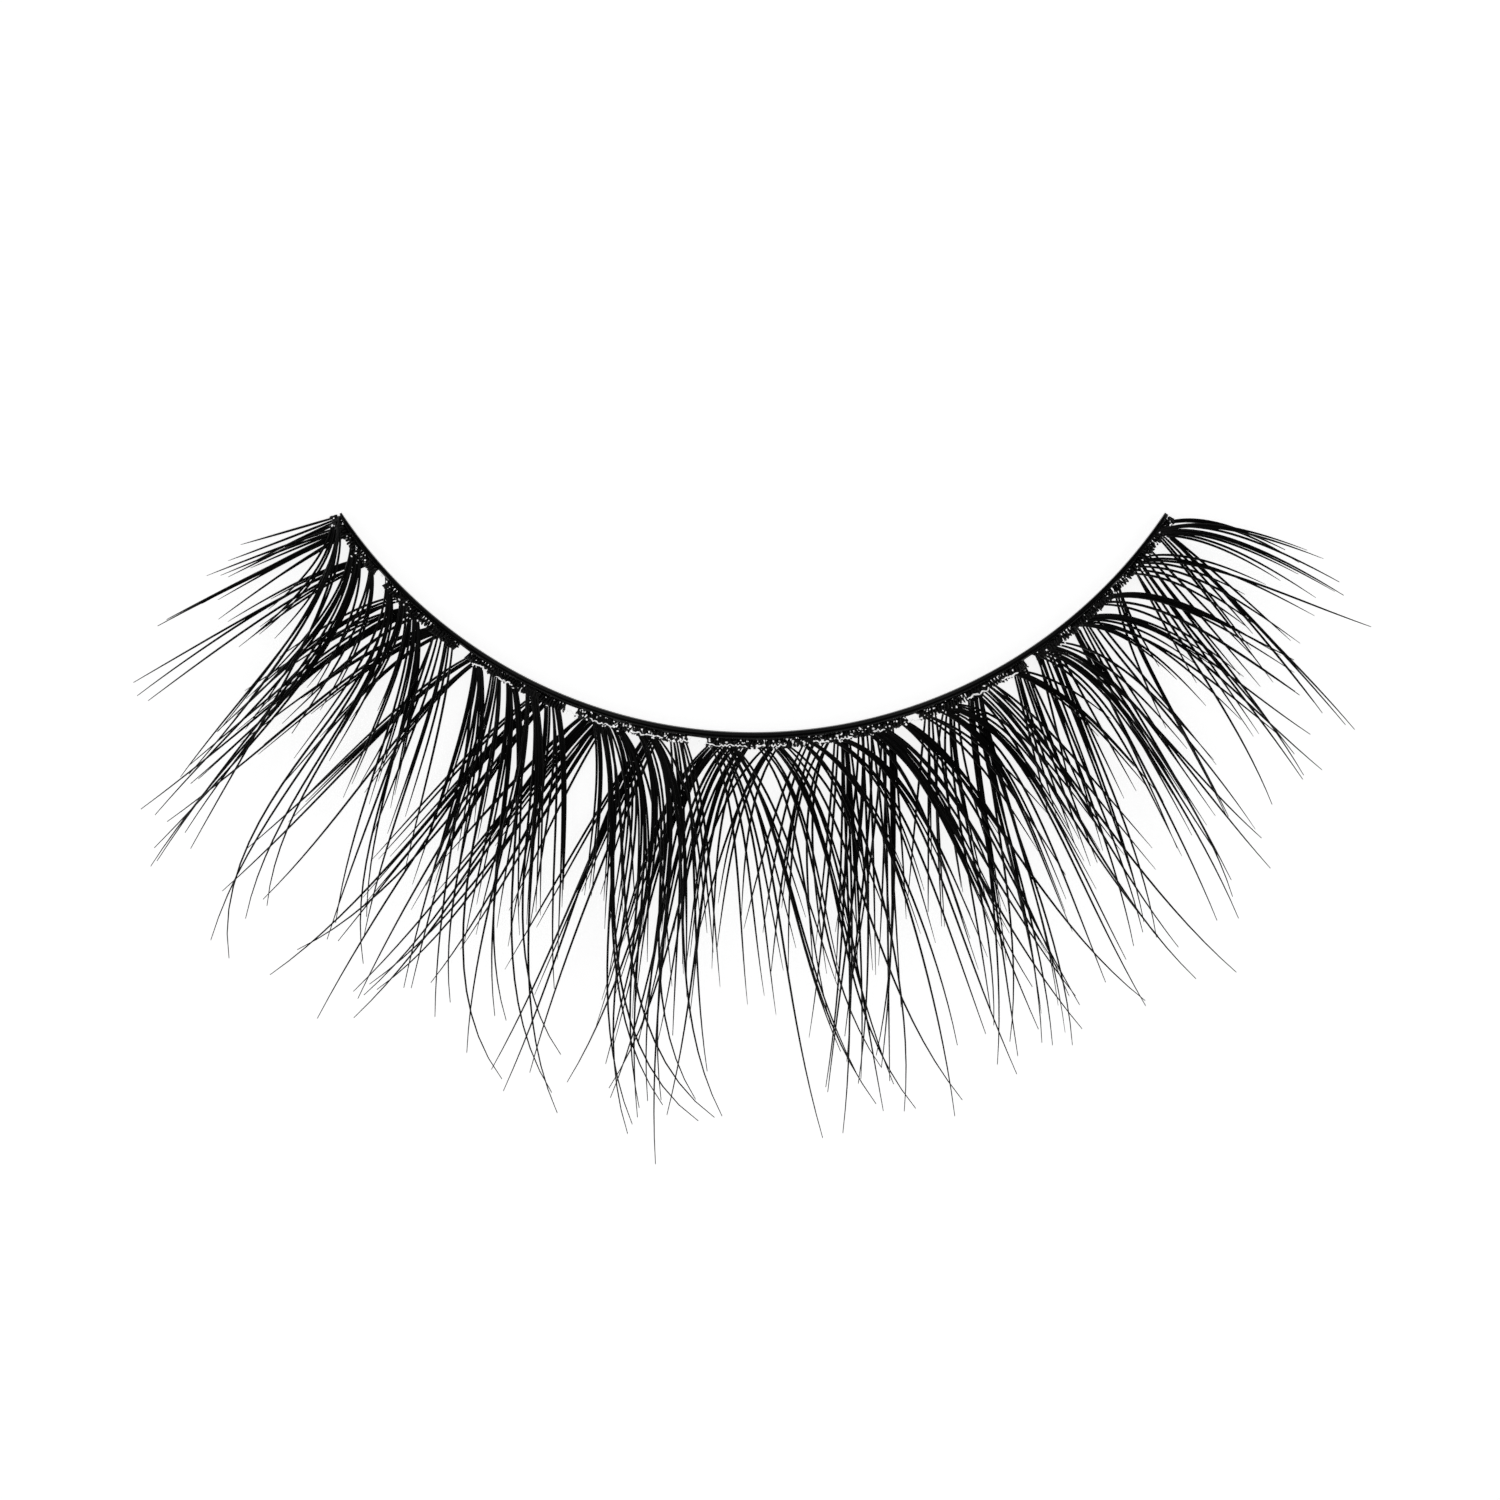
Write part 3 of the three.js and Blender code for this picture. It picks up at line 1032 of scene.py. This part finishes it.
    def wisps(self) -> list[Strand]:
        """Traces its few long hairs, whose tips hook more strongly.

        Returns:
            The wisps as strands.
        """
        made = []
        for _ in range(self.cluster.wisps):
            at = self.cluster.at + self.draw.uniform(-0.5, 0.5) * self.cluster.width
            root = self.cluster.root + self.draw.gauss(0, self.root_spread)
            settled = self.cluster.settled + self.draw.gauss(0, self.wisp_spread)
            swing = self.cluster.swing * self.draw.uniform(self.wisp_swing_low, self.wisp_swing_high)
            lean = Lean(root, settled, swing + self.draw.gauss(0, self.wisp_hook))
            length = self.cluster.reach * self.draw.uniform(self.wisp_length_low, self.wisp_length_high)
            made.append(self.strand(at, lean, length, self.wisp_radius, self.wisp_tip, self.wisp_taper))
        return made

    def knot(self) -> Strand:
        """Returns the fine thread that is wound around its roots."""
        reach = self.cluster.width / 2 + self.knot_overhang
        return self.winding.thread(self.cluster.at - reach, self.cluster.at + reach, self.base, self.draw)

    def strands(self) -> list[Strand]:
        """Returns every line of the bundle."""
        return [*self.hairs(), *self.wisps(), self.knot()]

    def build(self) -> bpy.types.Object:
        """Sweeps all its strands into one piece and dresses it.

        Returns:
            The bundle, which stands for its solid.
        """
        guide = self.sweep.guide(self.name, self.strands())
        name = f"lash_{self.name}"
        piece = self.sweep.make(name, guide, Sides=self.sides, Fullness=1.0, Finish=self.finish)
        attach(piece, BODY)
        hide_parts(self.name)
        return piece


@dataclass
class Binding:
    """The thread that binds the knots together along the band, with bare notches in between."""

    winding: Winding
    sweep: StrandSweep
    finish: bpy.types.Material
    runs: tuple[tuple[float, float], ...] = (
        (-16.4, -14.2),
        (-13.7, -10.5),
        (-10.1, -6.4),
        (-6.0, -2.2),
        (-1.5, 5.1),
        (5.6, 9.5),
        (10.0, 13.3),
        (13.7, 16.48),
    )
    heights: tuple[float, ...] = (0.3, 0.5)
    sides: int = 5
    seed: int = 31

    def build(self) -> bpy.types.Object:
        """Winds the thread and dresses it.

        Returns:
            The binding as one piece.
        """
        draw = random.Random(self.seed)
        threads = []
        for start, end in self.runs:
            threads.extend(self.winding.thread(start, end, height, draw) for height in self.heights)
        guide = self.sweep.guide("binding", threads)
        piece = self.sweep.make("lash_binding", guide, Sides=self.sides, Fullness=1.0, Finish=self.finish)
        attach(piece, BODY)
        return piece


@dataclass
class GlueBeads:
    """Dried beads of clear glue along the knots, thickest around the middle of the band."""

    arc: BandArc
    scatter: BeadScatter
    finish: bpy.types.Material
    count: int = 300
    middle_share: float = 0.5
    middle_reach: float = 6.5
    out_low: float = 0.09
    out_high: float = 0.46
    height_low: float = 0.52
    height_high: float = 0.65
    size_low: float = 0.012
    size_high: float = 0.036
    long_low: float = 0.9
    long_high: float = 1.9
    flat_low: float = 0.5
    flat_high: float = 0.9
    lumps_per_metre: float = 14000.0
    lump_depth: float = 3e-5
    seed: int = 11

    def build(self) -> bpy.types.Object:
        """Scatters the beads and dresses them.

        Returns:
            The beads as one piece.
        """
        draw = random.Random(self.seed)
        points = []
        stretch = []
        for _ in range(self.count):
            reach = self.middle_reach if draw.random() < self.middle_share else self.arc.length / 2
            at = draw.uniform(-reach, reach)
            out = draw.uniform(self.out_low, self.out_high)
            points.append(self.arc.point(at, out, draw.uniform(self.height_low, self.height_high)) * MM)
            size = draw.uniform(self.size_low, self.size_high) * MM
            long = draw.uniform(self.long_low, self.long_high)
            flat = draw.uniform(self.flat_low, self.flat_high)
            stretch.extend((size * long, size, size * flat))
        guide = bpy.data.meshes.new("glue_guide")
        guide.from_pydata(points, [], [])
        guide.attributes.new("stretch", "FLOAT_VECTOR", "POINT").data.foreach_set("vector", stretch)
        piece = self.scatter.make(
            "glue_beads",
            guide,
            Lumps_Per_Metre=self.lumps_per_metre,
            Lump_Depth=self.lump_depth,
            Seed=self.seed,
            Finish=self.finish,
        )
        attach(piece, BODY)
        return piece


@dataclass
class GlueSeam:
    """The squiggling seam of dried glue that shows in short runs along the outer edge of the knots."""

    arc: BandArc
    sweep: StrandSweep
    finish: bpy.types.Material
    runs: tuple[tuple[float, float], ...] = (
        (-9.8, -9.3),
        (-8.9, -8.3),
        (-6.3, -5.9),
        (-5.5, -4.6),
        (-4.1, -3.0),
        (-2.5, -2.2),
        (-1.6, -0.2),
        (0.1, 0.4),
        (0.6, 1.1),
        (2.0, 2.5),
        (2.8, 3.3),
        (4.0, 4.4),
        (5.2, 5.7),
        (7.3, 8.1),
        (8.6, 9.2),
    )
    step: float = 0.06
    out: float = 0.33
    wander: float = 0.05
    height: float = 0.62
    height_spread: float = 0.02
    radius_low: float = 0.008
    radius_high: float = 0.034
    sides: int = 6
    seed: int = 23

    def thread(self, start: float, end: float, draw: random.Random) -> Strand:
        """Traces one run of the seam.

        Args:
            start: Where it starts along the band.
            end: Where it ends.
            draw: The seam's run of random draws.

        Returns:
            The run as an uneven strand.
        """
        count = round((end - start) / self.step)
        points = []
        for i in range(count + 1):
            out = self.out + draw.uniform(-self.wander, self.wander)
            height = self.height + draw.uniform(-self.height_spread, self.height_spread)
            points.append(self.arc.point(lerp(start, end, i / count), out, height))
        radii = [draw.uniform(self.radius_low, self.radius_high) for _ in points]
        return Strand(points, radii, draw.random(), [1.0] * len(points))

    def build(self) -> bpy.types.Object:
        """Sweeps the runs into one piece and dresses it.

        Returns:
            The seam as one piece.
        """
        draw = random.Random(self.seed)
        threads = [self.thread(start, end, draw) for start, end in self.runs]
        guide = self.sweep.guide("glue_seam", threads)
        piece = self.sweep.make("glue_seam", guide, Sides=self.sides, Fullness=1.0, Finish=self.finish)
        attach(piece, BODY)
        return piece


@dataclass
class Studio:
    """The pale sweep that the strip lies on, four soft lamps around it, and the camera above."""

    floor_radius: float = 2.6
    wall_bend: float = 0.4
    wall_height: float = 0.6
    floor_drop: float = 2e-5
    sectors: int = 64
    bend_steps: int = 12
    lamp_distance: float = 0.62
    lamp_elevation: float = 42.0
    lamp_size: float = 0.5
    lamp_power: float = 0.25
    sky: float = 0.02
    photo_side: float = 1500.0
    # Millimetres for each pixel: the band's arc is 33 mm and 978.7 pixels long
    photo_scale: float = 33.0 / 978.7
    band_pixel: tuple[float, float] = (753.2, 736.3)
    lens: float = 300.0
    sensor: float = 36.0
    clip_near: float = 0.01
    clip_far: float = 10.0

    def build_floor(self) -> bpy.types.Object:
        """Makes the floor as a round sweep that turns up into a wall.

        Returns:
            The floor.
        """
        profile = [(0.0, 0.0), (self.floor_radius, 0.0)]
        for i in range(1, self.bend_steps + 1):
            angle = math.pi / 2 * i / self.bend_steps
            reach = self.floor_radius + self.wall_bend * math.sin(angle)
            profile.append((reach, self.wall_bend * (1 - math.cos(angle))))
        profile.append((self.floor_radius + self.wall_bend, self.wall_height))
        shape = bmesh.new()
        middle = shape.verts.new((0.0, 0.0, -self.floor_drop))
        rings = []
        for reach, height in profile[1:]:
            turns = [math.tau * i / self.sectors for i in range(self.sectors)]
            level = height - self.floor_drop
            ring = [(reach * math.cos(turn), reach * math.sin(turn), level) for turn in turns]
            rings.append([shape.verts.new(place) for place in ring])
        for i in range(self.sectors):
            j = (i + 1) % self.sectors
            shape.faces.new((middle, rings[0][i], rings[0][j]))
            for inner, outer in zip(rings, rings[1:]):
                shape.faces.new((inner[i], outer[i], outer[j], inner[j]))
        for face in shape.faces:
            face.smooth = True
        mesh = bpy.data.meshes.new("studio_floor")
        shape.to_mesh(mesh)
        shape.free()
        mesh.materials.append(FloorFinish().material())
        floor = link_object("studio_floor", mesh)
        return floor

    def build_lamps(self) -> None:
        """Hangs four soft lamps around the strip and leaves the space above it dark."""
        elevation = math.radians(self.lamp_elevation)
        for i, name in enumerate(("right", "back", "left", "front")):
            turn = math.pi / 2 * i
            lamp = bpy.data.lights.new(f"lamp_{name}", "AREA")
            lamp.size = self.lamp_size
            lamp.energy = self.lamp_power
            holder = bpy.data.objects.new(f"lamp_{name}", lamp)
            towards = Vector(
                (
                    math.cos(elevation) * math.cos(turn),
                    math.cos(elevation) * math.sin(turn),
                    math.sin(elevation),
                )
            )
            holder.location = towards * self.lamp_distance
            holder.rotation_euler = towards.to_track_quat("Z", "Y").to_euler()
            bpy.context.scene.collection.objects.link(holder)
        world = bpy.data.worlds.new("studio_sky")
        world.use_nodes = True
        background = world.node_tree.nodes["Background"]
        background.inputs["Color"].default_value = WHITE
        background.inputs["Strength"].default_value = self.sky
        bpy.context.scene.world = world

    def build_camera(self) -> bpy.types.Object:
        """Hangs the camera straight above the strip with the photograph's framing.

        Returns:
            The camera.
        """
        middle = self.photo_side / 2
        frame_width = self.photo_side * self.photo_scale * MM
        camera = bpy.data.cameras.new("camera")
        camera.lens = self.lens
        camera.sensor_width = self.sensor
        camera.clip_start = self.clip_near
        camera.clip_end = self.clip_far
        holder = bpy.data.objects.new("camera", camera)
        holder.location = (
            (middle - self.band_pixel[0]) * self.photo_scale * MM,
            (self.band_pixel[1] - middle) * self.photo_scale * MM,
            frame_width * self.lens / self.sensor,
        )
        bpy.context.scene.collection.objects.link(holder)
        bpy.context.scene.camera = holder
        return holder

    def build(self) -> None:
        """Sets up the floor, the lamps, the camera and plain colours."""
        self.build_floor()
        self.build_lamps()
        self.build_camera()
        bpy.context.scene.view_settings.view_transform = "Standard"


def main() -> None:
    """Builds the studio and every piece of the strip."""
    logging.basicConfig(level=logging.INFO, format="%(name)s: %(message)s")
    Studio().build()
    arc = BandArc()
    band = LashBand(arc, BandFinish().material()).build()
    LOG.info("%s: %d faces", band.name, len(band.data.polygons))
    run = HairRun(arc)
    winding = Winding(arc)
    sweep = StrandSweep()
    hair = HairFinish().material()
    for row in Row:
        for number, cluster in enumerate(row.clusters, start=1):
            bundle = HairCluster(row, number, cluster, run, winding, sweep, hair).build()
            LOG.info("%s: %d faces", bundle.name, len(bundle.data.polygons))
    glue = GlueFinish().material()
    trims = (
        Binding(winding, sweep, hair),
        GlueBeads(arc, BeadScatter(), glue),
        GlueSeam(arc, sweep, glue),
    )
    for trim in trims:
        piece = trim.build()
        LOG.info("%s: %d faces", piece.name, len(piece.data.polygons))


if __name__ == "__main__":
    main()
